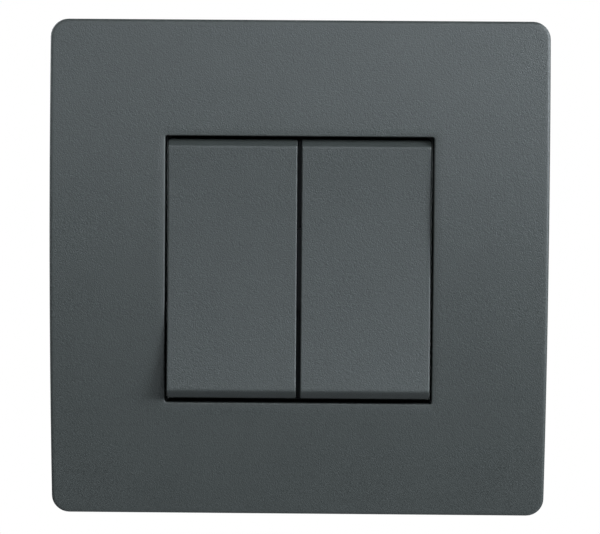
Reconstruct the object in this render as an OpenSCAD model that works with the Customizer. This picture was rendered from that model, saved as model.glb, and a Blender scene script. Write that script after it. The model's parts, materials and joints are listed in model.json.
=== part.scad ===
// Rocker wall switch: two changeover rockers side by side in a 45 mm modular mechanism,
// on a square cover plate that bows gently outwards.
// Millimetres. +X is to the viewer's right, +Y goes into the wall and +Z is up.
// The wall's surface is the plane y = 0, and the origin is on it, behind the plate's middle.
// Both rockers are drawn as they rest: top edge pressed in, bottom edge standing proud.

/* [Cover plate] */
// Width and height of the cover plate
plate_size = 85; // [84:0.5:88]
// Corner radius of the cover plate
plate_corner_r = 3; // [2.5:0.5:4]
// Distance from the wall to the middle of the plate's front
plate_depth = 9.5; // [9.2:0.1:10]
// Radius of the plate's bow, seen from the side
plate_bow_r = 290; // [270:10:600]
// Thickness of the plate's shell
plate_wall = 2.2; // [1.8:0.1:2.4]
// Width and height of the opening for the keys
opening_size = 45.7; // [45.5:0.1:45.9]

/* [Keys] */
// Width of one key
key_w = 22; // [21.6:0.1:22]
// Height of a key, with its bevelled ends
key_h = 44.2; // [43.9:0.1:44.3]
// Gap between the two keys
key_gap = 0.75; // [0.6:0.05:0.8]
// Distance from the wall to the middle of a level key's face
key_face_depth = 9.1; // [9:0.1:9.3]
// Radius of the hollow of a key's face, seen from the side
key_dish_r = 350; // [300:10:600]
// Height of the bevelled band at each end of a key
key_bevel_h = 1.25; // [0.9:0.05:1.3]
// Radius of a key's two outer corners
key_corner_r = 0.5; // [0.4:0.1:1.6]

/* [Rocking] */
// Tilt of a key to each side of level
key_tilt = 4; // [3.5:0.25:4]
// Tilt of a contact bridge to each side of level
bridge_tilt = 6; // [5:0.5:6]
// Distance from the wall to the keys' pivot
pivot_depth = 4.8; // [4.7:0.1:4.9]

/* [Support frame] */
// Width and height of the support frame
frame_size = 71; // [70:0.5:71]
// Distance between the centres of two opposite screw slots
screw_spacing = 60; // [59.5:0.5:60.5]
// Width of a screw slot
slot_w = 3.8; // [3.6:0.1:4.2]
// Length of a screw slot from end to end
slot_len = 7; // [6:0.5:7]

/* [Mechanism] */
// Width and height of the body behind the wall's surface
base_size = 40; // [40:0.5:40.5]
// Depth of the body behind the wall's surface
base_depth = 22; // [22:0.5:26]
// Width of a square wire entry
wire_entry_w = 3.4; // [3:0.1:3.4]

/* [Hidden] */
$fn = 64;

LEFT = -1;
RIGHT = 1;
WAYS = ["upper", "lower", "common"];

// A cut reaches this far past the faces it goes through
over = 1;
// Facets of the very large cylinders, so that their surfaces stay true
bow_fn = 1440;
// Clearance between neighbours that touch or clip together
touch = 0.05;
// Clearance between a fixed part and one that snaps behind it
snap_gap = 0.1;

// Cover plate
rim_y = -0.2;
plate_front_y = -plate_depth;
side_wall = 2;
opening_corner_r = 0.4;
collar_wall = 1.3;
collar_half = opening_size / 2 + collar_wall;
collar_front_y = plate_front_y + plate_wall - 0.3;

// Support frame, in layers from the wall: band on the wall, raised rims beside it
frame_front_y = -3.4;
frame_rim_y = -2;
frame_half = frame_size / 2;
frame_window_half = 21.6;
band_half = [25.4, 33.6];
frame_corner_r = 3;

// Snap hooks that hold the plate on the frame
plate_hook_x = 20;
plate_hook_w = 6;
plate_hook_t = 1.3;
plate_hook_gap = 0.5;
plate_hook_barb = 1;

// Mechanism cover
flange_half = opening_size / 2 - 0.25;
flange_front_y = -4.6;
flange_back_y = frame_front_y;
window_x = [1.6, 16.2];
window_half_z = 9.6;
post_front_y = -6.7;
centre_post_back_y = -2;
side_post_x = [16.2, 18.3];
side_post_back_y = -1.8;
side_post_half_z = 4.5;
centre_post_half_z = 7;
pivot_y = -pivot_depth;
trunnion_r = 1.2;
bearing_r = 1.25;

// Keys, as they are when level
key_wall = 1.5;
key_slab = 1.6;
key_half = key_h / 2;
face_half = key_half - key_bevel_h;
key_x = [key_gap / 2, key_gap / 2 + key_w];
key_face_y = -key_face_depth;
key_edge_y = key_face_y - (key_dish_r - sqrt(pow(key_dish_r, 2) - pow(face_half, 2)));
bevel_depth = 1.6;
skirt_end_y = -6.4;
skirt_mid_y = -4.9;
notch_half_z = 8.3;
key_underside_y = key_face_y + key_slab;

// Actuators: a plate under each key, with a tube for the plunger
actuator_x = [2.2, 15.9];
gang_x = (actuator_x[0] + actuator_x[1]) / 2;
actuator_half_z = 7;
actuator_front_y = key_underside_y + touch;
actuator_back_y = -5.9;
cheek_t = 1.5;
cheek_half_z = 2.2;
cheek_back_y = -3.3;
trunnion_inner_x = 0.35;
trunnion_outer_x = 18;
tube_r = 3.2;
tube_bore_r = 2.1;
tube_back_y = 6;
key_clip_half_w = 3;
key_clip_t = 1.2;
key_clip_gap = 0.15;
key_clip_barb = 0.75;
key_clip_back_y = -4.7;

// Plunger, which slides in the tube, and its spring
plunger_r = 2.05;
plunger_shoulder_y = 1;
plunger_cone_y = 7.4;
plunger_ball_y = 8.9;
plunger_ball_r = 1;
plunger_tail_r = 1.2;
plunger_tail_y = -1;
spring_r = [1.4, 1.9];

// Contact bridge: a strip folded into a shallow V that seesaws on the common terminal's pin
fulcrum_y = 12;
fulcrum_pin_r = 0.8;
ear_bore_r = 0.86;
bridge_front_y = 10.05;
strip_t = 0.8;
bridge_half_w = 3;
bridge_arm = 8;
ear_half_z = 1.4;
ear_back_y = 13.2;
contact_r = 1.25;
contact_t = 0.7;
contact_arm = 7;
contact_gap = 0.04;

// The closed contact's place at rest, where its arm stands square to the Y axis
arm_rel_y = bridge_front_y + strip_t - contact_arm * tan(bridge_tilt) - fulcrum_y;
contact_y = fulcrum_y + arm_rel_y * cos(bridge_tilt) + contact_arm * sin(bridge_tilt)
    + contact_t + contact_gap;
contact_z = contact_arm * cos(bridge_tilt) - arm_rel_y * sin(bridge_tilt);

// Terminals, each in its own frame, where +Z points out of the body's nearest side
strip_half_w = 2;
terminal_strip_y = contact_y + contact_t;
common_strip_y = 14.4;
strip_start_z = 5.9;
tab_z = [12.9, 13.7];
tab_back_y = base_depth - 2.2;
cage_y = [15.4, base_depth - 1.8];
cage_half_w = 3.2;
cage_z = [11.8, 18.2];
cage_wall = 1;
fulcrum_half_w = 1.7;
fulcrum_half_z = 1.2;
fulcrum_front_y = 11.2;
fulcrum_pin_half = 3.4;
screw_y = (cage_y[0] + cage_y[1]) / 2;
screw_shank_r = 1.45;
screw_hole_r = 1.5;
screw_head_r = 1.8;
screw_tip_z = 17;
screw_neck_z = 18.7;
screw_head_z = base_size / 2 - 0.2;
screw_slot_w = 0.7;
screw_slot_depth = 0.6;

// Mechanism base
base_half = base_size / 2;
base_chamfer = 6;
base_wall = 1.5;
base_floor = 1.6;
base_inner_chamfer = base_chamfer - base_wall * (2 - sqrt(2));
floor_y = base_depth - base_floor;
partition_half = 0.6;
partition_front_y = 3;
pillar_half_w = [2.5, 1.9];
pillar_end_z = 11.2;
access_hole_r = 1.95;
entry_funnel = 0.5;
latch_half_w = 5;
latch_tip_half = 22.3;

// Clips that hold the mechanism cover in its base
cover_clip_z = [8, 12];
cover_clip_x = [17.6, 18.4];
cover_clip_tip_x = 19.6;
cover_clip_y = [1.2, 2.8];
clip_window_gap = 0.2;

/* ---- Helpers ---- */

// A box between two opposite corners
module block(low, high) translate(low) cube(high - low);

// The outline below, read as x and z, drawn out along Y
module span_y(y0, y1) translate([0, y1, 0]) rotate([90, 0, 0]) linear_extrude(y1 - y0) children();

// The outline below, read as y and z, drawn out along X
module span_x(x0, x1) translate([x0, 0, 0]) rotate([90, 0, 90]) linear_extrude(x1 - x0) children();

// The outline below, read as x and y, drawn out along Z
module span_z(z0, z1) translate([0, 0, z0]) linear_extrude(z1 - z0) children();

// Round bars along X, Y and Z
module rod_x(r, x0, x1) translate([x0, 0, 0]) rotate([0, 90, 0]) cylinder(r = r, h = x1 - x0);
module rod_y(r, y0, y1) translate([0, y0, 0]) rotate([-90, 0, 0]) cylinder(r = r, h = y1 - y0);
module rod_z(r, z0, z1) translate([0, 0, z0]) cylinder(r = r, h = z1 - z0);

// A square with round corners
module rounded_square(size, r) {
    square([size - 2 * r, size], center = true);
    square([size, size - 2 * r], center = true);
    for (x = [-1, 1], y = [-1, 1])
        translate([x, y] * (size / 2 - r)) circle(r);
}

// A square with its corners cut off
module chamfered_square(half, cut) polygon([
    [half, half - cut], [half - cut, half], [cut - half, half], [-half, half - cut],
    [-half, cut - half], [cut - half, -half], [half - cut, -half], [half, cut - half]
]);

// Everything on the right, mirrored when the left side is meant
module on_side(side) {
    if (side == LEFT) mirror([1, 0, 0]) children();
    else children();
}

// Turned about a line along X at the given y
module turned(angle, y) translate([0, y, 0]) rotate([angle, 0, 0]) translate([0, -y, 0]) children();

// A level rocker's pieces, put where they rest
module at_rest(side) on_side(side) turned(-key_tilt, pivot_y) children();

// A terminal's pieces, put at its place on the body
module at_terminal(side, way) {
    if (way == "common") on_side(side) rotate([0, 90, 0]) children();
    else if (way == "lower") mirror([0, 0, 1]) translate([side * gang_x, 0, 0]) children();
    else translate([side * gang_x, 0, 0]) children();
}

module at_terminals() for (side = [LEFT, RIGHT], way = WAYS) at_terminal(side, way) children();

/* ---- Cover plate and support frame ---- */

// The round body whose front is the plate's bowed face, or a face behind it at the given y
module bowed(face_y) translate([0, plate_front_y + plate_bow_r, 0]) rotate([0, 90, 0])
    cylinder(r = plate_bow_r + plate_front_y - face_y, h = 2 * plate_size, center = true, $fn = bow_fn);

// One hook: a leg down the outside of the frame and a barb behind its rim
module plate_hook() {
    leg_z = frame_half + plate_hook_gap;
    translate([plate_hook_x, 0, 0]) {
        block(
            [-plate_hook_w / 2, plate_front_y + plate_wall + 1, leg_z],
            [plate_hook_w / 2, -0.7, leg_z + plate_hook_t]
        );
        span_x(-plate_hook_w / 2, plate_hook_w / 2) polygon([
            [frame_rim_y + snap_gap, leg_z], [frame_rim_y + snap_gap, leg_z - plate_hook_barb],
            [frame_rim_y + 0.5, leg_z - plate_hook_barb], [-0.7, leg_z]
        ]);
    }
}

module cover_plate() color([0.22, 0.24, 0.255]) {
    inner = plate_size - 2 * side_wall;
    difference() {
        union() {
            difference() {
                intersection() {
                    span_y(-plate_depth - over, rim_y) rounded_square(plate_size, plate_corner_r);
                    bowed(plate_front_y);
                }
                intersection() {
                    span_y(-plate_depth, over) rounded_square(inner, plate_corner_r - 1);
                    bowed(plate_front_y + plate_wall);
                }
            }
            span_y(collar_front_y, frame_front_y - snap_gap)
                square(2 * collar_half, center = true);
            for (x = [0, 1], z = [0, 1])
                mirror([x, 0, 0]) mirror([0, 0, z]) plate_hook();
        }
        span_y(-plate_depth - over, over) rounded_square(opening_size, opening_corner_r);
    }
}

// One screw slot, centred on the origin and running along X
module screw_slot() {
    r = slot_w / 2;
    run = slot_len / 2 - r;
    block([-run, frame_front_y - over, -r], [run, over, r]);
    for (x = [-run, run]) translate([x, 0, 0]) rod_y(r, frame_front_y - over, over);
}

module support_frame() color([0.72, 0.73, 0.72]) difference() {
    span_y(frame_front_y, 0) rounded_square(frame_size, frame_corner_r);
    span_y(frame_front_y - over, over) square(2 * frame_window_half, center = true);
    span_y(frame_rim_y, over) square(2 * band_half[0], center = true);
    span_y(frame_rim_y, over) difference() {
        square(frame_size + 2 * over, center = true);
        square(2 * band_half[1], center = true);
    }
    for (a = [0, 90, 180, 270])
        rotate([0, a, 0]) translate([screw_spacing / 2, 0, 0]) screw_slot();
}

/* ---- Keys and actuators, drawn level ---- */

// A key's outline from the front: round corners on its outer side only
module key_outline() {
    w = key_x[1] - key_x[0];
    translate([key_x[0], -key_half]) square([w - key_corner_r, key_h]);
    translate([key_x[1] - key_corner_r - over, key_corner_r - key_half])
        square([key_corner_r + over, key_h - 2 * key_corner_r]);
    for (z = [-1, 1])
        translate([key_x[1] - key_corner_r, z * (key_half - key_corner_r)]) circle(key_corner_r);
}

// The round body whose back is a key's hollow face, or the underside behind it
module dish(face_y) translate([0, key_face_y - key_dish_r, 0]) rotate([0, 90, 0])
    cylinder(r = key_dish_r + face_y - key_face_y, h = 2 * plate_size, center = true, $fn = bow_fn);

// The two clips that hold a key on its actuator
module key_clips() {
    leg_z = actuator_half_z + key_clip_gap;
    for (z = [0, 1]) mirror([0, 0, z]) translate([gang_x, 0, 0]) {
        block(
            [-key_clip_half_w, key_underside_y - 0.5, leg_z],
            [key_clip_half_w, key_clip_back_y, leg_z + key_clip_t]
        );
        block(
            [-key_clip_half_w, actuator_back_y + touch, leg_z - key_clip_barb],
            [key_clip_half_w, key_clip_back_y, leg_z + touch]
        );
    }
}

module level_key() {
    difference() {
        intersection() {
            span_x(0, plate_size) polygon([
                [key_edge_y, -face_half], [key_edge_y, face_half],
                [key_edge_y + bevel_depth, key_half], [skirt_end_y, key_half],
                [skirt_mid_y, 0],
                [skirt_end_y, -key_half], [key_edge_y + bevel_depth, -key_half]
            ]);
            span_y(-2 * plate_depth, 0) key_outline();
        }
        dish(key_face_y);
        difference() {
            block(
                [key_x[0] + key_wall, key_edge_y, key_wall - key_half],
                [key_x[1] - key_wall, 0, key_half - key_wall]
            );
            dish(key_underside_y);
        }
        difference() {
            block([0, key_edge_y, -notch_half_z], [key_x[0] + key_wall + touch, 0, notch_half_z]);
            dish(key_underside_y);
        }
    }
    key_clips();
}

module key(side) color([0.23, 0.25, 0.265]) at_rest(side) level_key();

module actuator(side) color([0.86, 0.86, 0.83]) at_rest(side) difference() {
    union() {
        block(
            [actuator_x[0], actuator_front_y, -actuator_half_z],
            [actuator_x[1], actuator_back_y, actuator_half_z]
        );
        for (x = [actuator_x[0], actuator_x[1] - cheek_t])
            block(
                [x, actuator_back_y - touch, -cheek_half_z],
                [x + cheek_t, cheek_back_y, cheek_half_z]
            );
        translate([0, pivot_y, 0]) {
            rod_x(trunnion_r, trunnion_inner_x, actuator_x[0] + cheek_t);
            rod_x(trunnion_r, actuator_x[1] - cheek_t, trunnion_outer_x);
        }
        translate([gang_x, 0, 0]) rod_y(tube_r, actuator_back_y - touch, tube_back_y);
    }
    translate([gang_x, 0, 0]) rod_y(tube_bore_r, actuator_back_y, tube_back_y + over);
}

module plunger(side) color([0.93, 0.93, 0.9]) at_rest(side) translate([gang_x, 0, 0]) {
    rod_y(plunger_tail_r, plunger_tail_y, plunger_cone_y);
    rod_y(plunger_r, plunger_shoulder_y, plunger_cone_y);
    translate([0, plunger_cone_y, 0]) rotate([-90, 0, 0])
        cylinder(r1 = plunger_r, r2 = plunger_ball_r, h = plunger_ball_y - plunger_cone_y);
    translate([0, plunger_ball_y, 0]) sphere(plunger_ball_r);
}

module plunger_spring(side) color("silver") at_rest(side) translate([gang_x, 0, 0]) difference() {
    rod_y(spring_r[1], actuator_back_y + touch, plunger_shoulder_y - touch);
    rod_y(spring_r[0], actuator_back_y - over, plunger_shoulder_y + over);
}

/* ---- Mechanism cover and base ---- */

// One clip of the mechanism cover, in the corner of the first quadrant
module cover_clip() {
    block(
        [cover_clip_x[0], flange_back_y - touch, cover_clip_z[0]],
        [cover_clip_x[1], cover_clip_y[1], cover_clip_z[1]]
    );
    span_z(cover_clip_z[0], cover_clip_z[1]) polygon([
        [cover_clip_x[1] - touch, cover_clip_y[0]], [cover_clip_tip_x, cover_clip_y[0]],
        [cover_clip_x[1], cover_clip_y[1]], [cover_clip_x[1] - touch, cover_clip_y[1]]
    ]);
}

module mechanism_cover() color([0.16, 0.17, 0.18]) difference() {
    union() {
        difference() {
            span_y(flange_front_y, flange_back_y) rounded_square(2 * flange_half, 1);
            for (x = [0, 1]) mirror([x, 0, 0]) block(
                [window_x[0], flange_front_y - over, -window_half_z],
                [window_x[1], flange_back_y + over, window_half_z]
            );
        }
        block(
            [-window_x[0], post_front_y, -centre_post_half_z],
            [window_x[0], centre_post_back_y, centre_post_half_z]
        );
        for (x = [0, 1]) mirror([x, 0, 0]) {
            block(
                [side_post_x[0], post_front_y, -side_post_half_z],
                [side_post_x[1], side_post_back_y, side_post_half_z]
            );
            for (z = [0, 1]) mirror([0, 0, z]) cover_clip();
        }
    }
    translate([0, pivot_y, 0]) {
        rod_x(bearing_r, -window_x[0] - over, window_x[0] + over);
        for (x = [0, 1]) mirror([x, 0, 0]) rod_x(bearing_r, side_post_x[0] - over, side_post_x[1]);
    }
}

// A wedge that snaps behind the support frame's inner rim
module base_latch() span_x(-latch_half_w, latch_half_w) polygon([
    [frame_rim_y + snap_gap, base_half - touch], [frame_rim_y + snap_gap, latch_tip_half],
    [frame_rim_y + 1, latch_tip_half], [2.5, base_half - touch]
]);

// What holds up a terminal's strip, in the terminal's own frame
module pillar(way) {
    w = way == "common" ? pillar_half_w[1] : pillar_half_w[0];
    start_y = (way == "common" ? common_strip_y : terminal_strip_y) + strip_t;
    block([-w, start_y + touch, strip_start_z], [w, floor_y + touch, pillar_end_z]);
}

// The wire entry and the screw's hole, in a terminal's own frame
module terminal_cuts() {
    w = wire_entry_w / 2;
    z = (tab_z[1] + cage_z[1] - cage_wall) / 2;
    block([-w, floor_y - over, z - w], [w, base_depth + over, z + w]);
    block(
        [-w - entry_funnel, base_depth - entry_funnel, z - w - entry_funnel],
        [w + entry_funnel, base_depth + over, z + w + entry_funnel]
    );
    translate([0, screw_y, 0]) rod_z(access_hole_r, cage_z[1], base_half + over);
}

module mechanism_base() color([0.88, 0.88, 0.85]) difference() {
    union() {
        difference() {
            span_y(flange_back_y, base_depth) chamfered_square(base_half, base_chamfer);
            span_y(flange_back_y - over, floor_y)
                chamfered_square(base_half - base_wall, base_inner_chamfer);
        }
        block(
            [-partition_half, partition_front_y, base_wall - base_half - touch],
            [partition_half, floor_y + touch, base_half - base_wall + touch]
        );
        for (z = [0, 1]) mirror([0, 0, z]) base_latch();
        for (side = [LEFT, RIGHT], way = WAYS) at_terminal(side, way) pillar(way);
    }
    at_terminals() terminal_cuts();
    for (x = [0, 1], z = [0, 1]) mirror([x, 0, 0]) mirror([0, 0, z]) block(
        [base_half - base_wall - over, cover_clip_y[0] - clip_window_gap, cover_clip_z[0] - clip_window_gap],
        [base_half + over, cover_clip_y[1] + clip_window_gap, cover_clip_z[1] + clip_window_gap]
    );
}

/* ---- Contacts and terminals ---- */

// A bridge's pieces, drawn level, put where they rest
module bridge_at_rest(side) on_side(side) turned(bridge_tilt, fulcrum_y)
    translate([gang_x, 0, 0]) children();

module contact_bridge(side) color([0.78, 0.5, 0.32]) bridge_at_rest(side) {
    rise = bridge_arm * tan(bridge_tilt);
    span_x(-bridge_half_w, bridge_half_w) polygon([
        [bridge_front_y, 0], [bridge_front_y - rise, bridge_arm],
        [bridge_front_y - rise + strip_t, bridge_arm], [bridge_front_y + strip_t, 0],
        [bridge_front_y - rise + strip_t, -bridge_arm], [bridge_front_y - rise, -bridge_arm]
    ]);
    for (x = [0, 1]) mirror([x, 0, 0]) difference() {
        block(
            [bridge_half_w - strip_t, bridge_front_y + strip_t / 2, -ear_half_z],
            [bridge_half_w, ear_back_y, ear_half_z]
        );
        translate([0, fulcrum_y, 0]) rod_x(ear_bore_r, 0, bridge_half_w + over);
    }
}

module moving_contacts(side) color([0.85, 0.85, 0.83]) bridge_at_rest(side)
    for (z = [0, 1]) mirror([0, 0, z])
        translate([0, bridge_front_y + strip_t - contact_arm * tan(bridge_tilt), contact_arm])
            rotate([bridge_tilt, 0, 0]) rod_y(contact_r, 0, contact_t);

module fixed_contacts() color([0.85, 0.85, 0.83])
    for (side = [LEFT, RIGHT], way = ["upper", "lower"]) at_terminal(side, way)
        translate([0, 0, contact_z]) rod_y(contact_r, contact_y, terminal_strip_y);

// A strip that ends in a tab through its cage
module terminal_strip(front_y, start_z) {
    block([-strip_half_w, front_y, start_z], [strip_half_w, front_y + strip_t, tab_z[1]]);
    block([-strip_half_w, front_y, tab_z[0]], [strip_half_w, tab_back_y, tab_z[1]]);
}

module switched_terminal(side, way) color([0.8, 0.63, 0.3]) at_terminal(side, way)
    terminal_strip(terminal_strip_y, strip_start_z);

module common_terminal(side) color([0.8, 0.63, 0.3]) at_terminal(side, "common") {
    start_z = gang_x - fulcrum_half_w;
    terminal_strip(common_strip_y, start_z);
    block(
        [-fulcrum_half_z, fulcrum_front_y, start_z],
        [fulcrum_half_z, common_strip_y + touch, gang_x + fulcrum_half_w]
    );
    translate([0, fulcrum_y, 0]) rod_z(fulcrum_pin_r, gang_x - fulcrum_pin_half, gang_x + fulcrum_pin_half);
}

module terminal_cages() color([0.8, 0.63, 0.3]) at_terminals() difference() {
    block([-cage_half_w, cage_y[0], cage_z[0]], [cage_half_w, cage_y[1], cage_z[1]]);
    block(
        [cage_wall - cage_half_w, cage_y[0] - over, cage_z[0] + cage_wall],
        [cage_half_w - cage_wall, cage_y[1] + over, cage_z[1] - cage_wall]
    );
    translate([0, screw_y, 0]) rod_z(screw_hole_r, cage_z[1] - cage_wall - touch, cage_z[1] + over);
}

module terminal_screws() color("silver") at_terminals() translate([0, screw_y, 0]) difference() {
    union() {
        rod_z(screw_shank_r, screw_tip_z, screw_neck_z);
        rod_z(screw_head_r, screw_neck_z, screw_head_z);
    }
    block(
        [-screw_head_r - over, -screw_slot_w / 2, screw_head_z - screw_slot_depth],
        [screw_head_r + over, screw_slot_w / 2, screw_head_z + over]
    );
}

cover_plate();
support_frame();
mechanism_base();
mechanism_cover();
key(LEFT);  // left_key
key(RIGHT);  // right_key
actuator(LEFT);  // left_actuator
actuator(RIGHT);  // right_actuator
plunger(LEFT);  // left_plunger
plunger(RIGHT);  // right_plunger
plunger_spring(LEFT);  // left_plunger_spring
plunger_spring(RIGHT);  // right_plunger_spring
contact_bridge(LEFT);  // left_contact_bridge
contact_bridge(RIGHT);  // right_contact_bridge
moving_contacts(LEFT);  // left_moving_contacts
moving_contacts(RIGHT);  // right_moving_contacts
common_terminal(LEFT);  // left_common_terminal
common_terminal(RIGHT);  // right_common_terminal
switched_terminal(LEFT, "upper");  // left_upper_terminal
switched_terminal(RIGHT, "upper");  // right_upper_terminal
switched_terminal(LEFT, "lower");  // left_lower_terminal
switched_terminal(RIGHT, "lower");  // right_lower_terminal
fixed_contacts();
terminal_cages();
terminal_screws();
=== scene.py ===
"""Looks of the rocker wall switch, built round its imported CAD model.

Everything is in metres, in the model's own frame: +X to the viewer's right, +Y into the wall, +Z up.
The cover plate, the keys, the springs and the screws are new meshes. Every other CAD node keeps its shape
and gets softened edges and a material of its own.
"""

import json
import math

import bmesh
import bpy
from mathutils import Matrix, Vector


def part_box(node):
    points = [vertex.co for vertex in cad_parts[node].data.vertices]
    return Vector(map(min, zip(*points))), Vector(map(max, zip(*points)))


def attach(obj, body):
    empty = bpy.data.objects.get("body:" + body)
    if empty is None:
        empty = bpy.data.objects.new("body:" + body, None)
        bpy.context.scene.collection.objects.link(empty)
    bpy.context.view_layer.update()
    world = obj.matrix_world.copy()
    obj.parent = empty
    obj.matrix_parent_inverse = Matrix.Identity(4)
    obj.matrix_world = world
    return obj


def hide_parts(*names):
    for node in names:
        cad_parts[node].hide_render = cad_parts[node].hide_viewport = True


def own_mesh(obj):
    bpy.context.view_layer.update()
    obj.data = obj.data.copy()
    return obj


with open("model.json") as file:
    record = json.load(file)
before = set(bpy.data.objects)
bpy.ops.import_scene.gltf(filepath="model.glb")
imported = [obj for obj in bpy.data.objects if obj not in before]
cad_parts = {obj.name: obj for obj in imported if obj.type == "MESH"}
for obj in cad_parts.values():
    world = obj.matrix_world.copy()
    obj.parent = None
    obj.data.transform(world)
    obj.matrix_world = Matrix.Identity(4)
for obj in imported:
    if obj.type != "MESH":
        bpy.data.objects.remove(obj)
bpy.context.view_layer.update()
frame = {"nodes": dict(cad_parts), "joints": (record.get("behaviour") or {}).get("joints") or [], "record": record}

MM = 0.001
SIDES = {"left": -1, "right": 1}
JOINTS = {j["name"]: j for j in frame["joints"]}


# ---- Sizes, in metres ----

# Cover plate: the same driving sizes as the CAD node
PLATE_LOW, PLATE_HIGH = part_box("cover_plate")
PLATE_HALF = PLATE_HIGH.x
PLATE_FRONT_Y = PLATE_LOW.y
PLATE_RIM_Y = PLATE_HIGH.y
PLATE_BOW_R = 290 * MM
PLATE_WALL = 2.2 * MM
PLATE_SIDE_WALL = 2 * MM
PLATE_CORNER_R = 3 * MM
PLATE_INNER_CORNER_R = 2 * MM
PLATE_EDGE_R = 0.55 * MM
OPENING_HALF = 22.85 * MM
OPENING_CORNER_R = 0.4 * MM
OPENING_EDGE_R = 0.2 * MM
LEAD_IN_WIDTH = 1.3 * MM
LEAD_IN_DEPTH = 0.06 * MM
COLLAR_WALL = 1.3 * MM
COLLAR_BACK_Y = -3.5 * MM
BACK_EDGE_R = 0.25 * MM

# Snap hooks behind the plate
HOOK_X = 20 * MM
HOOK_HALF_W = 3 * MM
HOOK_LEG_Z = (36 * MM, 37.3 * MM)
HOOK_TOP_Y = -6.3 * MM
HOOK_BARB_Y = (-1.9 * MM, -1.5 * MM)
HOOK_BARB_Z = 35 * MM
HOOK_END_Y = -0.7 * MM

# Keys, as they are when level
PIVOT_Y = JOINTS["right_rocker_pivot"]["pos_m"][1]
REST_TILT = math.radians(JOINTS["right_rocker_pivot"]["range_deg"][1]) / 2
KEY_X = (0.375 * MM, 22.375 * MM)
KEY_HALF = 22.1 * MM
KEY_FACE_Y = -9.1 * MM
KEY_DISH_R = 350 * MM
KEY_BEVEL_H = 1.25 * MM
KEY_BEVEL_DEPTH = 1.6 * MM
KEY_RIDGE_R = 0.3 * MM
KEY_SIDE_EDGE_R = 0.2 * MM
KEY_END_EDGE_R = 0.14 * MM
KEY_OUTER_CORNER_R = 0.5 * MM
KEY_INNER_CORNER_R = 0.25 * MM
KEY_WALL = 1.5 * MM
KEY_SLAB = 1.6 * MM
KEY_SKIRT_Y = (-4.9 * MM, -6.4 * MM)
KEY_NOTCH_HALF_Z = 8.3 * MM

# The middle of a key, of its spring and of the clamp screws above and below it
SIDE_X = 9.05 * MM

# Clips under a key
CLIP_HALF_W = 3 * MM
CLIP_LEG_Z = (7.15 * MM, 8.35 * MM)
CLIP_BARB_Z = 6.4 * MM
CLIP_BARB_Y = -5.85 * MM
CLIP_END_Y = -4.7 * MM

# Plunger springs
SPRING_WIRE_R = 0.22 * MM
SPRING_COIL_R = 1.66 * MM
SPRING_TURNS = 7
SPRING_CLOSED_SHARE = 0.13  # of the wire's length, in the closed coils at each end
SPRING_Y = (-5.85 * MM, 0.95 * MM)

# Clamp screws
SCREW_PITCH = 0.5 * MM
SCREW_CORE_R = 1.2 * MM
SCREW_THREAD_R = 1.45 * MM
SCREW_HEAD_R = 1.8 * MM
SCREW_HEAD_H = 1.1 * MM
SCREW_LENGTH = 2.8 * MM
SCREW_SLOT_W = 0.7 * MM
SCREW_SLOT_DEPTH = 0.6 * MM
SCREW_CHAMFER = 0.15 * MM

# Mesh details
HAIR = 0.01 * MM  # a distance too small to see, which keeps two surfaces apart or lets them overlap
SUPPORT = 0.35 * MM  # from a rounded edge to the row of points that keeps the face beside it flat
PLATE_FILLET = 0.4 * MM  # inside the plate, between its walls and its ceiling
HOOK_BEVEL = 0.12 * MM
CLIP_BEVEL = 0.1 * MM
KEY_BACK_BEVEL = 0.15 * MM
# Where the grid of a key's front has its lines, in mm: rows from its ends, rows from its notch, rows from its
# middle, and columns from its sides
END_ROWS = (
    0, 0.004, 0.02, 0.06, 0.12, 0.2, 0.3, 0.42, 0.56, 0.72, 0.9, 1.05, 1.15, 1.25, 1.35, 1.5, 1.8, 2.4,
)
NOTCH_ROWS = (9, 6, 3, 0.6, 0.05, -0.05, -0.6)
MIDDLE_ROWS = (6, 4, 2)
SIDE_COLUMNS = (0, 0.012, 0.045, 0.1, 0.17, 0.25, 0.34, 0.5, 0.9)
MIDDLE_COLUMN_COUNT = 10


# ---- Mesh helpers ----

def new_piece(name, mesh_builder, material, body, nodes):
    """One piece from a bmesh: named, finished, riding on its body and standing for its CAD nodes."""
    mesh = bpy.data.meshes.new(name)
    bmesh.ops.recalc_face_normals(mesh_builder, faces=mesh_builder.faces)
    mesh_builder.to_mesh(mesh)
    mesh_builder.free()
    for polygon in mesh.polygons:
        polygon.use_smooth = True
    piece = bpy.data.objects.new(name, mesh)
    bpy.context.scene.collection.objects.link(piece)
    mesh.materials.append(material)
    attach(piece, body)
    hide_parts(*nodes)
    return piece


def add_loop(bm, points):
    return [bm.verts.new(point) for point in points]


def bridge(bm, loop_a, loop_b):
    """Quads between two closed loops of the same length."""
    count = len(loop_a)
    for i in range(count):
        j = (i + 1) % count
        bm.faces.new((loop_a[i], loop_a[j], loop_b[j], loop_b[i]))


def arc_steps(count):
    """Angles from 0 to a right angle, in count equal steps."""
    return [math.pi / 2 * i / count for i in range(count + 1)]


def square_outline(half, radius, side_count, corner_count):
    """Points (x, z) round a square with round corners, always the same number for the same counts."""
    straight = half - radius
    points = []
    for quarter in range(4):
        turn = math.pi / 2 * quarter
        out, along = Vector((math.cos(turn), math.sin(turn))), Vector((-math.sin(turn), math.cos(turn)))
        for i in range(side_count):
            points.append(out * half + along * straight * (2 * i / side_count - 1))
        for i in range(corner_count):
            angle = math.pi / 2 * i / corner_count
            points.append(
                (out + along) * straight + (out * math.cos(angle) + along * math.sin(angle)) * radius
            )
    return points


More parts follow.
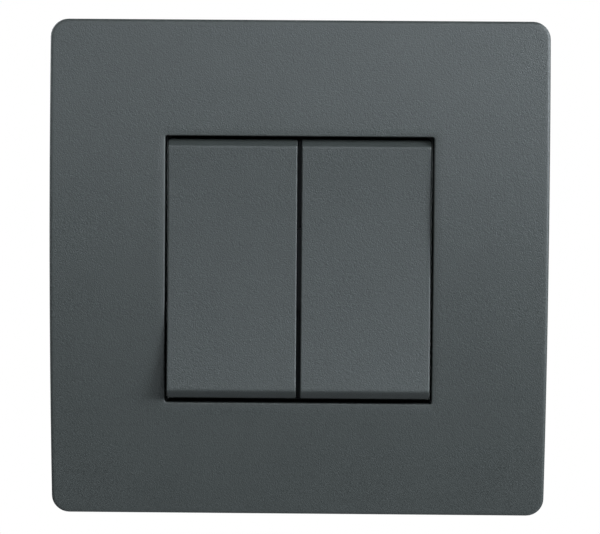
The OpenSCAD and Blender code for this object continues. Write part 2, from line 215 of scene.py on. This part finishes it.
def soft_prism(bm, outline, x0, x1, bevel, transform=Matrix.Identity(4)):
    """A prism along X from an outline of (y, z) points, with its edges bevelled."""
    low = [bm.verts.new((x0, y, z)) for y, z in outline]
    high = [bm.verts.new((x1, y, z)) for y, z in outline]
    faces = [bm.faces.new(low), bm.faces.new(high[::-1])]
    for i in range(len(outline)):
        j = (i + 1) % len(outline)
        faces.append(bm.faces.new((low[i], high[i], high[j], low[j])))
    edges = list({edge for face in faces for edge in face.edges})
    bmesh.ops.bevel(bm, geom=edges, offset=bevel, segments=2, profile=0.5, affect="EDGES",
                    clamp_overlap=True)
    moved = {v for face in bm.faces if face.is_valid for v in face.verts if not v.tag}
    bmesh.ops.transform(bm, matrix=transform, verts=list(moved))
    for v in moved:
        v.tag = True


def tag_all(bm):
    """Marks what is already built, so that soft_prism moves only its own points."""
    for v in bm.verts:
        v.tag = True


# ---- Materials ----

class Nodes:
    """A material's node tree, with short calls for what these materials share."""

    def __init__(self, name, **constants):
        self.material = bpy.data.materials.new(name)
        self.material.use_nodes = True
        self.tree = self.material.node_tree
        self.shader = self.tree.nodes["Principled BSDF"]
        for socket, value in constants.items():
            self.shader.inputs[socket.replace("_", " ")].default_value = value
        self.place = self.add("ShaderNodeTexCoord").outputs["Object"]

    def add(self, kind, **settings):
        node = self.tree.nodes.new(kind)
        for key, value in settings.items():
            setattr(node, key, value)
        return node

    def link(self, output, target):
        self.tree.links.new(output, target)

    def noise(self, size, detail=2.0, roughness=0.5, stretch=(1, 1, 1)):
        """Noise from 0 to 1, whose grains are about size metres across."""
        mapping = self.add("ShaderNodeMapping")
        mapping.inputs["Scale"].default_value = [k / size for k in stretch]
        self.link(self.place, mapping.inputs["Vector"])
        texture = self.add("ShaderNodeTexNoise")
        texture.inputs["Scale"].default_value = 1.0
        texture.inputs["Detail"].default_value = detail
        texture.inputs["Roughness"].default_value = roughness
        self.link(mapping.outputs["Vector"], texture.inputs["Vector"])
        return texture.outputs["Fac"]

    def remap(self, value, low, high, from_low=0.3, from_high=0.7):
        node = self.add("ShaderNodeMapRange")
        for socket, number in (
            ("From Min", from_low), ("From Max", from_high), ("To Min", low), ("To Max", high),
        ):
            node.inputs[socket].default_value = number
        self.link(value, node.inputs["Value"])
        return node.outputs["Result"]

    def mix(self, factor, colour_a, colour_b):
        """A colour between two; either may be a tuple or another node's output."""
        node = self.add("ShaderNodeMix", data_type="RGBA")
        self.link(factor, node.inputs["Factor"])
        for socket, colour in ((node.inputs[6], colour_a), (node.inputs[7], colour_b)):
            if isinstance(colour, tuple):
                socket.default_value = (*colour, 1)
            else:
                self.link(colour, socket)
        return node.outputs[2]

    def bump(self, height, distance, strength=1.0, below=None):
        node = self.add("ShaderNodeBump")
        node.inputs["Strength"].default_value = strength
        node.inputs["Distance"].default_value = distance
        self.link(height, node.inputs["Height"])
        if below is not None:
            self.link(below, node.inputs["Normal"])
        return node.outputs["Normal"]

    def set(self, socket, output):
        self.link(output, self.shader.inputs[socket])


def eroded_plastic(name, dark, light):
    """Matte anthracite plastic from a spark-eroded mould: an even, fine grain with a faint larger mottle."""
    m = Nodes(name, Metallic=0.0, IOR=1.5)
    grain = m.noise(0.19 * MM, detail=1.5, roughness=0.6)
    pits = m.noise(0.42 * MM, detail=1)
    mottle = m.noise(9 * MM, detail=2)
    tone = m.mix(m.remap(grain, 0, 1, 0.3, 0.7), dark, light)
    m.set("Base Color", m.mix(m.remap(mottle, 0, 0.25), tone, light))
    m.set("Roughness", m.remap(grain, 0.45, 0.57))
    coarse = m.bump(pits, 0.012 * MM)
    m.set("Normal", m.bump(grain, 0.055 * MM, below=coarse))
    return m.material


def moulded_plastic(name, dark, light, roughness, specular):
    """Plain injection-moulded plastic: smooth, faintly cloudy, with shallow flow waves."""
    m = Nodes(name, Metallic=0.0, Specular_IOR_Level=specular)
    cloud = m.noise(4 * MM, detail=3)
    skin = m.noise(0.25 * MM, detail=2)
    m.set("Base Color", m.mix(m.remap(cloud, 0, 1), dark, light))
    m.set("Roughness", m.remap(skin, roughness - 0.05, roughness + 0.06))
    waves = m.bump(cloud, 0.015 * MM)
    m.set("Normal", m.bump(skin, 0.003 * MM, below=waves))
    return m.material


def drawn_metal(name, dark, light, roughness, stretch):
    """Rolled, stamped or drawn metal: fine lines, stretched along some axes, and patches of duller skin."""
    m = Nodes(name, Metallic=1.0)
    lines = m.noise(0.06 * MM, detail=2, stretch=stretch)
    patches = m.noise(2.5 * MM, detail=2)
    m.set("Base Color", m.mix(m.remap(patches, 0.2, 0.8), dark, light))
    m.set("Roughness", m.remap(patches, roughness, roughness + 0.07))
    m.set("Normal", m.bump(lines, 0.002 * MM, strength=0.6))
    return m.material


plate_plastic = eroded_plastic("plate_plastic", (0.0191, 0.0218, 0.0204), (0.0359, 0.0406, 0.0377))
key_plastic = eroded_plastic("key_plastic", (0.0183, 0.0211, 0.0197), (0.0347, 0.0394, 0.0367))
PLASTICS = {
    # name: darker and lighter colour, roughness, specular level
    "grey_frame_plastic": ((0.42, 0.43, 0.42), (0.48, 0.49, 0.48), 0.5, 0.5),
    "white_base_plastic": ((0.66, 0.66, 0.62), (0.72, 0.72, 0.68), 0.42, 0.5),
    # The black cover is darker than black plastic usually is: partly its own black, partly painted shade, so that
    # the narrow gaps round the keys, where it shows, read as deep shade.
    "black_cover_plastic": ((0.010, 0.011, 0.012), (0.014, 0.015, 0.016), 0.6, 0.3),
    "natural_nylon": ((0.62, 0.6, 0.52), (0.7, 0.68, 0.6), 0.38, 0.5),
    "white_acetal": ((0.72, 0.72, 0.68), (0.8, 0.8, 0.77), 0.28, 0.5),
}
METALS = {
    # name: darker and lighter colour, roughness, how densely the grain repeats along x, y and z
    "spring_steel": ((0.5, 0.5, 0.5), (0.62, 0.62, 0.62), 0.28, (1, 4, 4)),
    "copper_strip": ((0.62, 0.3, 0.18), (0.76, 0.42, 0.27), 0.3, (6, 6, 1)),
    "silver_contact": ((0.76, 0.76, 0.74), (0.88, 0.87, 0.85), 0.26, (1, 1, 1)),
    "brass_strip": ((0.64, 0.47, 0.2), (0.78, 0.6, 0.3), 0.3, (6, 6, 1)),
    "plated_brass_cage": ((0.6, 0.5, 0.3), (0.74, 0.63, 0.4), 0.33, (1, 6, 6)),
    "zinc_steel_screw": ((0.55, 0.57, 0.6), (0.7, 0.71, 0.72), 0.32, (1, 1, 1)),
}
MATERIALS = {name: moulded_plastic(name, *look) for name, look in PLASTICS.items()}
MATERIALS.update({name: drawn_metal(name, *look) for name, look in METALS.items()})


# ---- Cover plate ----

def bow_y(face_y, z):
    """The y of the bowed face that passes through face_y at mid-height, at height z."""
    centre_y = PLATE_FRONT_Y + PLATE_BOW_R
    radius = centre_y - face_y
    return centre_y - math.sqrt(radius ** 2 - z ** 2)


def plate_profile():
    """The plate's closed section, as (half size, corner radius, y, bowed) from the opening outwards.

    y is a distance behind the front where bowed is true, and a plain y where it isn't.
    """
    steps = []
    # collar, opening edge, the gentle dip towards it, and the front
    steps.append((OPENING_HALF, OPENING_CORNER_R, COLLAR_BACK_Y + BACK_EDGE_R, False))
    steps.append((OPENING_HALF, OPENING_CORNER_R, LEAD_IN_DEPTH + OPENING_EDGE_R + SUPPORT, True))
    for angle in arc_steps(5):
        out = OPENING_EDGE_R * (1 - math.cos(angle))
        steps.append((OPENING_HALF + out, OPENING_CORNER_R + out,
                      LEAD_IN_DEPTH + OPENING_EDGE_R * (1 - math.sin(angle)), True))
    for i in range(1, 6):
        out = OPENING_EDGE_R + LEAD_IN_WIDTH * i / 5
        steps.append((OPENING_HALF + out, OPENING_CORNER_R + out, LEAD_IN_DEPTH * (1 - i / 5) ** 2, True))
    start, end = OPENING_HALF + OPENING_EDGE_R + LEAD_IN_WIDTH, PLATE_HALF - PLATE_EDGE_R
    start_r, end_r = OPENING_CORNER_R + OPENING_EDGE_R + LEAD_IN_WIDTH, PLATE_CORNER_R - PLATE_EDGE_R
    ring_count = 12
    ring = [SUPPORT / (end - start)]
    ring += [i / ring_count for i in range(1, ring_count)]
    ring += [1 - SUPPORT / (end - start)]
    for share in ring:
        steps.append((start + (end - start) * share, start_r + (end_r - start_r) * share, 0.0, True))
    # outer edge, side and back rim
    for angle in arc_steps(6):
        inwards = PLATE_EDGE_R * (1 - math.sin(angle))
        steps.append((PLATE_HALF - inwards, PLATE_CORNER_R - inwards,
                      PLATE_EDGE_R * (1 - math.cos(angle)), True))
    steps.append((PLATE_HALF, PLATE_CORNER_R, PLATE_EDGE_R + SUPPORT, True))
    steps.append((PLATE_HALF, PLATE_CORNER_R, PLATE_RIM_Y - BACK_EDGE_R - SUPPORT, False))
    for angle in arc_steps(3):
        inwards = BACK_EDGE_R * (1 - math.cos(angle))
        steps.append((PLATE_HALF - inwards, PLATE_CORNER_R - inwards,
                      PLATE_RIM_Y - BACK_EDGE_R * (1 - math.sin(angle)), False))
    cavity, cavity_r = PLATE_HALF - PLATE_SIDE_WALL, PLATE_INNER_CORNER_R
    for angle in arc_steps(3):
        inwards = BACK_EDGE_R * (1 - math.sin(angle))
        steps.append((cavity + inwards, cavity_r + inwards,
                      PLATE_RIM_Y - BACK_EDGE_R * (1 - math.cos(angle)), False))
    # inside: cavity wall, ceiling and the collar's outside
    steps.append((cavity, cavity_r, PLATE_WALL + PLATE_FILLET, True))
    steps.append((cavity - PLATE_FILLET, cavity_r, PLATE_WALL, True))
    collar, collar_r = OPENING_HALF + COLLAR_WALL, OPENING_CORNER_R + COLLAR_WALL
    for i in range(1, 8):
        share = i / 8
        steps.append((cavity - PLATE_FILLET + (collar + PLATE_FILLET - cavity + PLATE_FILLET) * share,
                      cavity_r + (collar_r - cavity_r) * share, PLATE_WALL, True))
    steps.append((collar + PLATE_FILLET, collar_r + PLATE_FILLET, PLATE_WALL, True))
    steps.append((collar, collar_r, PLATE_WALL + PLATE_FILLET, True))
    steps.append((collar, collar_r, COLLAR_BACK_Y - BACK_EDGE_R, False))
    steps.append((collar - BACK_EDGE_R, collar_r - BACK_EDGE_R, COLLAR_BACK_Y, False))
    steps.append((OPENING_HALF + BACK_EDGE_R, OPENING_CORNER_R + BACK_EDGE_R, COLLAR_BACK_Y, False))
    return steps


def cover_plate():
    bm = bmesh.new()
    loops = []
    for half, radius, y, bowed in plate_profile():
        outline = square_outline(half, radius, side_count=30, corner_count=8)
        loops.append(add_loop(bm, [
            (x, bow_y(PLATE_FRONT_Y, z) + y if bowed else y, z) for x, z in outline
        ]))
    for a, b in zip(loops, loops[1:] + loops[:1]):
        bridge(bm, a, b)
    tag_all(bm)
    for x_sign in (-1, 1):
        for z_sign in (-1, 1):
            hook = [
                (HOOK_TOP_Y, HOOK_LEG_Z[0]), (HOOK_BARB_Y[0], HOOK_LEG_Z[0]),
                (HOOK_BARB_Y[0], HOOK_BARB_Z), (HOOK_BARB_Y[1], HOOK_BARB_Z),
                (HOOK_END_Y, HOOK_LEG_Z[0]), (HOOK_END_Y, HOOK_LEG_Z[1]), (HOOK_TOP_Y, HOOK_LEG_Z[1]),
            ]
            soft_prism(bm, [(y, z * z_sign) for y, z in hook],
                       x_sign * HOOK_X - HOOK_HALF_W, x_sign * HOOK_X + HOOK_HALF_W, HOOK_BEVEL)
    return new_piece("cover_plate_shell", bm, plate_plastic, "root", ["cover_plate"])


# ---- Keys ----

def dish_y(z, depth=0.0):
    """The hollow face of a level key at height z, or a surface that lies depth behind it."""
    radius = KEY_DISH_R + depth
    return KEY_FACE_Y - KEY_DISH_R + math.sqrt(radius ** 2 - z ** 2)


def smooth_max(a, b, soft):
    """The larger of two values, rounded where they meet."""
    share = max(soft - abs(a - b), 0.0) / soft
    return max(a, b) + share ** 2 * soft / 4


def key_front_y(z):
    """The front of a level key: its hollow face, running over soft ridges into the bevelled ends."""
    face_half = KEY_HALF - KEY_BEVEL_H
    bevel = dish_y(face_half) + (abs(z) - face_half) * KEY_BEVEL_DEPTH / KEY_BEVEL_H
    return smooth_max(dish_y(z), bevel, KEY_RIDGE_R)


def inset(x, z, edge=0.0):
    """How far (x, z) lies inside a key's outline, which is square on its inner side and round outside."""
    low_x, high_x, half = KEY_X[0] + edge, KEY_X[1] - edge, KEY_HALF - edge
    outer = x > (low_x + high_x) / 2
    radius = KEY_OUTER_CORNER_R if outer else KEY_INNER_CORNER_R
    dx = (x - (high_x - radius)) if outer else ((low_x + radius) - x)
    dz = abs(z) - (half - radius)
    if dx > 0 and dz > 0:
        return radius - math.hypot(dx, dz)
    return radius - max(dx, dz)


def edge_drop(distance, radius):
    """How far a round edge has fallen away at a distance inside the outline."""
    short = max(radius - distance, 0.0)
    return radius - math.sqrt(max(radius ** 2 - short ** 2, 0.0))


def x_limits(z, half, low_x, high_x, inner_r, outer_r):
    """Where the outline's two sides are at height z."""
    def pull(radius):
        over = abs(z) - (half - radius)
        return radius - math.sqrt(max(radius ** 2 - over ** 2, 0.0)) if over > 0 else 0.0
    return low_x + pull(inner_r), high_x - pull(outer_r)


def key_columns(low, high):
    """The grid's places from side to side: dense near both sides."""
    near = [low + s * MM for s in SIDE_COLUMNS]
    far = [high - s * MM for s in reversed(SIDE_COLUMNS)]
    count = MIDDLE_COLUMN_COUNT
    middle = [near[-1] + (far[0] - near[-1]) * i / count for i in range(1, count)]
    return near + middle + far


def key_rows(half):
    """Heights of the grid's rows: dense at the corners and ridges, and at the notch's two ends."""
    upper = [half - s * MM for s in END_ROWS]
    upper += [KEY_NOTCH_HALF_Z + s * MM for s in NOTCH_ROWS]
    upper += [s * MM for s in MIDDLE_ROWS]
    return [-z for z in upper] + [0.0] + upper[::-1]


def key_grid(bm, rows, low_x, high_x, half, inner_r, outer_r, y_of):
    """A sheet of quads over a key's outline; returns it as rows of points."""
    grid = []
    for z in rows:
        x0, x1 = x_limits(z, half, low_x, high_x, inner_r, outer_r)
        grid.append([bm.verts.new((x, y_of(x, z), z)) for x in key_columns(x0, x1)])
    for row_a, row_b in zip(grid, grid[1:]):
        for i in range(len(row_a) - 1):
            bm.faces.new((row_a[i], row_a[i + 1], row_b[i + 1], row_b[i]))
    return grid


def border(grid):
    """The grid's edge as one closed loop of points."""
    loop = list(grid[0]) + [row[-1] for row in grid[1:]]
    loop += grid[-1][-2::-1] + [row[0] for row in grid[-2:0:-1]]
    return loop


def skirt_y(x, z):
    """The back edge of a level key's walls: a shallow V, cut away on the inner side round the middle post."""
    if x < KEY_X[0] + KEY_WALL + HAIR and abs(z) <= KEY_NOTCH_HALF_Z:
        return dish_y(z, KEY_SLAB) + 2 * HAIR
    return KEY_SKIRT_Y[0] + (KEY_SKIRT_Y[1] - KEY_SKIRT_Y[0]) * abs(z) / KEY_HALF


def key(side_name):
    """One key with its clips, built level on the right, then tilted to rest, and mirrored for the left."""
    bm = bmesh.new()
    rows = key_rows(KEY_HALF)

    def front(x, z):
        on_bevel = min(max((abs(z) - (KEY_HALF - KEY_BEVEL_H)) / KEY_BEVEL_H, 0.0), 1.0)
        edge_r = KEY_SIDE_EDGE_R + (KEY_END_EDGE_R - KEY_SIDE_EDGE_R) * on_bevel
        return key_front_y(z) + edge_drop(inset(x, z), edge_r)

    outside = key_grid(bm, rows, *KEY_X, KEY_HALF, KEY_INNER_CORNER_R, KEY_OUTER_CORNER_R, front)
    inner_half = KEY_HALF - KEY_WALL
    shrink = inner_half / KEY_HALF
    inner_rows = [z if abs(z) < KEY_NOTCH_HALF_Z + 2 * MM else z * shrink for z in rows]
    inside = key_grid(
        bm, inner_rows, KEY_X[0] + KEY_WALL, KEY_X[1] - KEY_WALL, inner_half,
        KEY_INNER_CORNER_R, KEY_INNER_CORNER_R, lambda x, z: dish_y(z, KEY_SLAB))
    outer_loop, inner_loop = border(outside), border(inside)
    middle_x = sum(KEY_X) / 2

    def ring(loop, inwards, behind):
        """A loop of the wall: the given one moved inwards a little, to a y that follows the skirt's edge."""
        points = []
        for v in loop:
            x, z = v.co.x, v.co.z
            points.append((x + inwards * math.copysign(1, middle_x - x),
                           max(skirt_y(x, z) - behind, v.co.y + HAIR),
                           z - min(inwards, abs(z)) * math.copysign(1, z)))
        return add_loop(bm, points)

    loops = [
        outer_loop,
        ring(outer_loop, 0, KEY_BACK_BEVEL),
        ring(outer_loop, KEY_BACK_BEVEL * 0.3, KEY_BACK_BEVEL * 0.3),
        ring(outer_loop, KEY_BACK_BEVEL, 0),
        ring(inner_loop, -KEY_BACK_BEVEL, 0),
        ring(inner_loop, 0, KEY_BACK_BEVEL),
        inner_loop,
    ]
    for a, b in zip(loops, loops[1:]):
        bridge(bm, a, b)
    tag_all(bm)
    clip_top_y = KEY_FACE_Y + KEY_SLAB - 0.3 * MM
    for z_sign in (-1, 1):
        clip = [
            (clip_top_y, CLIP_LEG_Z[0]), (CLIP_BARB_Y, CLIP_LEG_Z[0]),
            (CLIP_BARB_Y, CLIP_BARB_Z), (CLIP_END_Y - 0.4 * MM, CLIP_BARB_Z),
            (CLIP_END_Y, CLIP_LEG_Z[0]), (CLIP_END_Y, CLIP_LEG_Z[1]),
            (clip_top_y, CLIP_LEG_Z[1]),
        ]
        soft_prism(bm, [(y, z * z_sign) for y, z in clip],
                   SIDE_X - CLIP_HALF_W, SIDE_X + CLIP_HALF_W, CLIP_BEVEL)
    bmesh.ops.transform(bm, matrix=rest_place(side_name), verts=bm.verts)
    return new_piece(f"{side_name}_key_cap", bm, key_plastic, f"{side_name}_rocker",
                     [f"{side_name}_key"])


def rest_place(side_name):
    """Takes a level rocker piece of the right side to its place at rest, on either side."""
    pivot = Matrix.Translation((0, PIVOT_Y, 0))
    tilt = pivot @ Matrix.Rotation(-REST_TILT, 4, "X") @ pivot.inverted()
    return Matrix.Diagonal((SIDES[side_name], 1, 1, 1)) @ tilt


# ---- Springs and screws ----

def tube(bm, points, radius, sides=10):
    """A closed tube along a list of points."""
    loops = []
    for i, point in enumerate(points):
        ahead = points[min(i + 1, len(points) - 1)] - points[max(i - 1, 0)]
        ahead.normalize()
        across = ahead.cross(Vector((0, 1, 0))).normalized()
        up = across.cross(ahead)
        loops.append(add_loop(bm, [
            point + (across * math.cos(a) + up * math.sin(a)) * radius
            for a in (math.tau * k / sides for k in range(sides))
        ]))
    for a, b in zip(loops, loops[1:]):
        bridge(bm, a, b)
    bm.faces.new(loops[0][::-1])
    bm.faces.new(loops[-1])


def plunger_spring(side_name):
    """A wound compression spring with closed end coils, in place of the plain sleeve."""
    bm = bmesh.new()
    low_y, high_y = SPRING_Y[0] + SPRING_WIRE_R, SPRING_Y[1] - SPRING_WIRE_R
    steps_per_turn = 26
    steps = steps_per_turn * SPRING_TURNS
    closed = SPRING_CLOSED_SHARE
    points = []
    for i in range(steps + 1):
        t = i / steps
        if t < closed:
            along = t * 2 * SPRING_WIRE_R / closed
        elif t > 1 - closed:
            along = (high_y - low_y) - (1 - t) * 2 * SPRING_WIRE_R / closed
        else:
            run = (t - closed) / (1 - 2 * closed)
            along = 2 * SPRING_WIRE_R + run * (high_y - low_y - 4 * SPRING_WIRE_R)
        angle = math.tau * SPRING_TURNS * t
        points.append(Vector((SIDE_X + SPRING_COIL_R * math.cos(angle), low_y + along,
                              SPRING_COIL_R * math.sin(angle))))
    tube(bm, points, SPRING_WIRE_R)
    place = rest_place(side_name)
    bmesh.ops.transform(bm, matrix=place, verts=bm.verts)
    spring = new_piece(f"{side_name}_plunger_coil", bm, MATERIALS["spring_steel"], f"{side_name}_rocker",
                       [f"{side_name}_plunger_spring"])
    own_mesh(spring)
    return spring


def screw_threads(bm, place):
    """The threaded shank, head downwards: its radius follows a helix, so the thread is real."""
    sides, rows_per_pitch = 32, 6
    turns = (SCREW_LENGTH - SCREW_HEAD_H) / SCREW_PITCH
    rows = int(turns * rows_per_pitch)
    loops = []
    for row in range(rows + 1):
        z = row * SCREW_PITCH / rows_per_pitch
        taper = min(1.0, (z + 0.1 * MM) / (0.5 * MM))
        points = []
        for k in range(sides):
            phase = (z / SCREW_PITCH - k / sides) % 1.0
            ridge = 1 - abs(2 * phase - 1)
            radius = SCREW_CORE_R * taper + (SCREW_THREAD_R - SCREW_CORE_R) * ridge * taper
            angle = math.tau * k / sides
            points.append(place @ Vector((radius * math.cos(angle), radius * math.sin(angle), z)))
        loops.append(add_loop(bm, points))
    for a, b in zip(loops, loops[1:]):
        bridge(bm, a, b)
    bm.faces.new(loops[0][::-1])
    bm.faces.new(loops[-1])


def screw_head(bm, place):
    """A slotted cheese head: a disc under two half-round lands."""
    low = SCREW_LENGTH - SCREW_HEAD_H
    slot_floor = SCREW_LENGTH - SCREW_SLOT_DEPTH
    arc_count = 18
    slot_half = SCREW_SLOT_W / 2
    for sign in (-1, 1):
        def land(radius, z, flat):
            start = math.asin(flat / radius)
            angles = [start + (math.pi - 2 * start) * i / arc_count for i in range(arc_count + 1)]
            points = [(radius * math.cos(a), sign * radius * math.sin(a)) for a in angles]
            return add_loop(bm, [place @ Vector((x, y, z)) for x, y in points])
        edges = [
            land(SCREW_HEAD_R, slot_floor - 2 * HAIR, slot_half),
            land(SCREW_HEAD_R, SCREW_LENGTH - SCREW_CHAMFER, slot_half),
            land(SCREW_HEAD_R - SCREW_CHAMFER, SCREW_LENGTH, slot_half + 0.03 * MM),
        ]
        for a, b in zip(edges, edges[1:]):
            bridge(bm, a, b)
        bm.faces.new(edges[0][::-1])
        bm.faces.new(edges[-1])
    discs = []
    under_edge = 0.1 * MM
    rims = ((SCREW_HEAD_R - under_edge, low), (SCREW_HEAD_R, low + under_edge), (SCREW_HEAD_R, slot_floor))
    for radius, z in rims:
        discs.append(add_loop(bm, [
            place @ Vector((radius * math.cos(a), radius * math.sin(a), z))
            for a in (math.tau * k / 40 for k in range(40))
        ]))
    for a, b in zip(discs, discs[1:]):
        bridge(bm, a, b)
    bm.faces.new(discs[0][::-1])
    bm.faces.new(discs[-1])


def terminal_screws():
    """Six clamp screws: two above, two below and one at each side, each turned a little differently."""
    bm = bmesh.new()
    low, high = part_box("terminal_screws")
    screw_y = (low.y + high.y) / 2
    reach = high.z
    up = Matrix.Identity(4)
    ways = [
        (SIDES["left"] * SIDE_X, up), (SIDES["right"] * SIDE_X, up),
        (SIDES["left"] * SIDE_X, Matrix.Rotation(math.pi, 4, "Y")),
        (SIDES["right"] * SIDE_X, Matrix.Rotation(math.pi, 4, "Y")),
        (0.0, Matrix.Rotation(math.pi / 2, 4, "Y")), (0.0, Matrix.Rotation(-math.pi / 2, 4, "Y")),
    ]
    for number, (x, facing) in enumerate(ways):
        turn = Matrix.Rotation(math.radians(20 + 50 * number), 4, "Z")
        place = (Matrix.Translation((x, screw_y, 0)) @ facing
                 @ Matrix.Translation((0, 0, reach - SCREW_LENGTH)) @ turn)
        screw_threads(bm, place)
        screw_head(bm, place)
    return new_piece("terminal_screw_set", bm, MATERIALS["zinc_steel_screw"], "root",
                     ["terminal_screws"])


# ---- CAD nodes that keep their shape ----

EDGE_SOFTNESS = {
    "support_frame": 0.25 * MM,
    "mechanism_base": 0.25 * MM,
    "mechanism_cover": 0.12 * MM,
    "left_actuator": 0.12 * MM,
    "right_actuator": 0.12 * MM,
    "fixed_contacts": 0.12 * MM,
    "terminal_cages": 0.12 * MM,
}
DEFAULT_SOFTNESS = 0.08 * MM


def soften(node):
    """Joins a CAD mesh's facets back into faces, rounds its edges and shades it smooth."""
    piece = frame["nodes"][node]
    weld = piece.modifiers.new("weld", "WELD")
    weld.merge_threshold = 0.002 * MM
    join = piece.modifiers.new("join", "DECIMATE")
    join.decimate_type = "DISSOLVE"
    join.angle_limit = math.radians(0.5)
    edge = piece.modifiers.new("edge", "BEVEL")
    edge.width = EDGE_SOFTNESS.get(node, DEFAULT_SOFTNESS)
    edge.segments = 2
    edge.limit_method = "ANGLE"
    edge.angle_limit = math.radians(28)
    for polygon in piece.data.polygons:
        polygon.use_smooth = True
    shading = piece.modifiers.new("shading", "WEIGHTED_NORMAL")
    shading.mode = "FACE_AREA"
    shading.weight = 100


def finish_cad_nodes():
    slots = {s["node"]: s["material_slot"] for s in frame["record"]["subparts"]}
    for node, piece in frame["nodes"].items():
        if slots[node] in MATERIALS and not piece.hide_render:
            soften(node)
            piece.data.materials.clear()
            piece.data.materials.append(MATERIALS[slots[node]])


# ---- Camera, lights and floor ----

CAMERA_AIM = Vector((0, -8 * MM, 0))
CAMERA_DISTANCE = 400 * MM
CAMERA_ELEVATION = math.radians(4.98)
CAMERA_AZIMUTH = math.radians(0.55)
CAMERA_ROLL = math.radians(0.395)
CAMERA_LENS_MM = 140.6
CAMERA_SHIFT = (0.0019, 0.0054)

COOL_WHITE = (0.92, 1.0, 1.08)
WORLD_LIGHT = 0.05  # how strongly the white surroundings light the object
FLOOR_Z = -0.9
FLOOR_HALF = 3.0
FLOOR_GLOW = 0.82  # how bright the floor looks before any light falls on it
LIGHTS = (
    # name, azimuth and elevation in degrees, distance, size, watts
    ("front", 0, 20, 1.2, (0.35, 0.35), 2.8),
    ("near_right", 32, 26, 1.2, (0.35, 0.35), 6.9),
    ("far_right", 60, 19, 1.2, (0.5, 0.4), 27.0),
    ("near_left", -30, 30, 1.2, (0.35, 0.35), 1.7),
    ("side_left", -100, 15, 1.2, (0.5, 0.5), 7.0),
    ("behind_right", 140, 30, 1.6, (0.8, 0.8), 12.0),
    ("behind_left", -140, 30, 1.6, (0.8, 0.8), 12.0),
)


def camera():
    data = bpy.data.cameras.new("camera")
    data.lens = CAMERA_LENS_MM
    data.sensor_width = 36
    data.sensor_fit = "HORIZONTAL"
    data.shift_x, data.shift_y = CAMERA_SHIFT
    data.clip_start, data.clip_end = 0.01, 20
    flat = math.cos(CAMERA_ELEVATION)
    ahead = Vector((-math.sin(CAMERA_AZIMUTH) * flat, math.cos(CAMERA_AZIMUTH) * flat,
                    -math.sin(CAMERA_ELEVATION)))
    level = Vector((math.cos(CAMERA_AZIMUTH), math.sin(CAMERA_AZIMUTH), 0))
    above = level.cross(ahead)
    right = level * math.cos(CAMERA_ROLL) + above * math.sin(CAMERA_ROLL)
    up = above * math.cos(CAMERA_ROLL) - level * math.sin(CAMERA_ROLL)
    place = Matrix((right, up, -ahead)).transposed().to_4x4()
    place.translation = CAMERA_AIM - ahead * CAMERA_DISTANCE
    holder = bpy.data.objects.new("camera", data)
    bpy.context.scene.collection.objects.link(holder)
    holder.matrix_world = place
    bpy.context.scene.camera = holder


def softbox(name, azimuth, elevation, distance, size, watts):
    """A soft light panel facing the object, in a direction as a viewer in front sees it."""
    data = bpy.data.lights.new(name, "AREA")
    data.shape = "RECTANGLE"
    data.size, data.size_y = size
    data.energy = watts
    data.color = COOL_WHITE
    a, e = math.radians(azimuth), math.radians(elevation)
    out = Vector((math.sin(a) * math.cos(e), -math.cos(a) * math.cos(e), math.sin(e)))
    light = bpy.data.objects.new(name, data)
    bpy.context.scene.collection.objects.link(light)
    light.location = out * distance
    light.rotation_euler = (-out).to_track_quat("-Z", "Y").to_euler()


def studio():
    """White surroundings, which the camera sees at full white but which light the object only softly."""
    scene = bpy.context.scene
    scene.view_settings.view_transform = "Standard"
    world = bpy.data.worlds.new("studio")
    scene.world = world
    world.use_nodes = True
    tree = world.node_tree
    background = tree.nodes["Background"]
    background.inputs["Color"].default_value = (1, 1, 1, 1)
    strength = tree.nodes.new("ShaderNodeMix")
    strength.inputs["A"].default_value = WORLD_LIGHT
    strength.inputs["B"].default_value = 1.0
    path = tree.nodes.new("ShaderNodeLightPath")
    tree.links.new(path.outputs["Is Camera Ray"], strength.inputs["Factor"])
    tree.links.new(strength.outputs["Result"], background.inputs["Strength"])


def floor():
    """A pale floor that looks evenly bright but throws little light back up at the object."""
    bm = bmesh.new()
    bmesh.ops.create_grid(bm, x_segments=8, y_segments=8, size=FLOOR_HALF)
    mesh = bpy.data.meshes.new("floor")
    bm.to_mesh(mesh)
    bm.free()
    ground = bpy.data.objects.new("floor", mesh)
    bpy.context.scene.collection.objects.link(ground)
    ground.location.z = FLOOR_Z
    m = Nodes("floor_paper", Roughness=0.9)
    m.set("Base Color", m.mix(m.noise(0.3), (0.44, 0.44, 0.44), (0.47, 0.47, 0.47)))
    m.shader.inputs["Emission Color"].default_value = (1, 1, 1, 1)
    glow = m.add("ShaderNodeMath", operation="MULTIPLY")
    glow.inputs[1].default_value = FLOOR_GLOW
    m.link(m.add("ShaderNodeLightPath").outputs["Is Camera Ray"], glow.inputs[0])
    m.set("Emission Strength", glow.outputs[0])
    mesh.materials.append(m.material)


camera()
studio()
floor()
for light in LIGHTS:
    softbox(*light)

cover_plate()
for side in SIDES:
    key(side)
    plunger_spring(side)
terminal_screws()
finish_cad_nodes()
